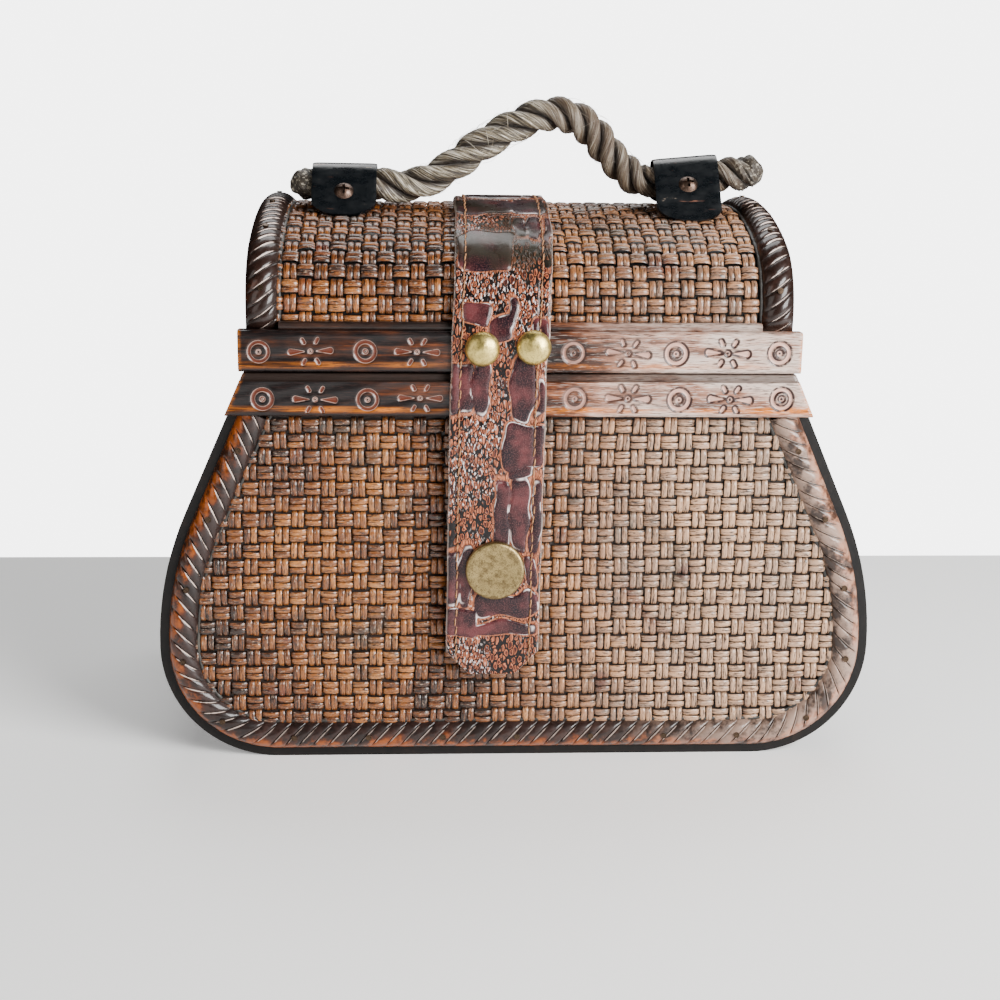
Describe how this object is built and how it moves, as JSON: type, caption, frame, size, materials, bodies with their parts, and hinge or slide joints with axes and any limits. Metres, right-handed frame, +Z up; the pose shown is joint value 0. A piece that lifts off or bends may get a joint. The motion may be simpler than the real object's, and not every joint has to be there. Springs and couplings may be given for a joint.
{
  "type": "basket box bag",
  "caption": "Hand-held wooden box bag faced with woven cane: flared body, hinged barrel-top lid, rope handle on steel clamps, and a leather strap closing on a snap.",
  "frame": {"origin": "centre of the flat base, on the surface the bag stands on", "axes": "+Z up, +X along the bag's width, the front with the hanging strap faces -Y"},
  "size_m": [0.234, 0.1496, 0.216],
  "materials": {
    "board": "dark stained thin board",
    "band": "black-brown stained bent strip",
    "cane": "glossy stained woven cane",
    "moulding": "orange-brown stained, carved, lacquered",
    "rail": "red-brown stained, stamped, lacquered",
    "lining": "plain dark cotton lining",
    "leather": "embossed burgundy leather",
    "brass": "polished brass studs",
    "old_brass": "antique brass snap",
    "black_steel": "glossy black painted steel",
    "screw_steel": "darkened steel screws and brads",
    "rope": "grey-brown laid rope"
  },
  "bodies": {
    "body": {"side_band": "band", "front_panel": "board", "back_panel": "board", "front_weave": "cane", "back_weave": "cane", "front_moulding": "moulding", "back_moulding": "moulding", "body_moulding_brads": "screw_steel", "front_rail": "rail", "back_rail": "rail", "body_lining": "lining", "snap_socket": "old_brass", "body_hinge_leaf_left": "old_brass", "body_hinge_leaf_right": "old_brass", "body_hinge_screws": "old_brass", "hinge_pin_left": "screw_steel", "hinge_pin_right": "screw_steel"},
    "lid": {"lid_shell": "board", "lid_weave": "cane", "lid_end_left": "band", "lid_end_right": "band", "lid_moulding_left": "moulding", "lid_moulding_right": "moulding", "lid_moulding_brads": "screw_steel", "lid_front_rail": "rail", "lid_back_rail": "rail", "lid_front_bead": "rail", "lid_back_bead": "rail", "lid_lining": "lining", "lid_hinge_leaf_left": "old_brass", "lid_hinge_leaf_right": "old_brass", "lid_hinge_screws": "old_brass", "strap": "leather", "strap_studs": "brass", "clamp_left": "black_steel", "clamp_right": "black_steel", "clamp_screws": "screw_steel", "rope_handle": "rope"},
    "strap_tail": {"strap_tail": "leather", "snap_cap": "old_brass", "snap_plug": "old_brass"}
  },
  "joints": [
    {"name": "lid_hinge", "type": "hinge", "parent": "body", "child": "lid", "pos_m": [0, 0.0713, 0.12925], "axis": [-1, 0, 0], "range_deg": [0, 110]},
    {"name": "strap_flap", "type": "hinge", "parent": "lid", "child": "strap_tail", "pos_m": [-0.0074, -0.0713, 0.13005], "axis": [-1, 0, 0], "range_deg": [0, 90]}
  ]
}
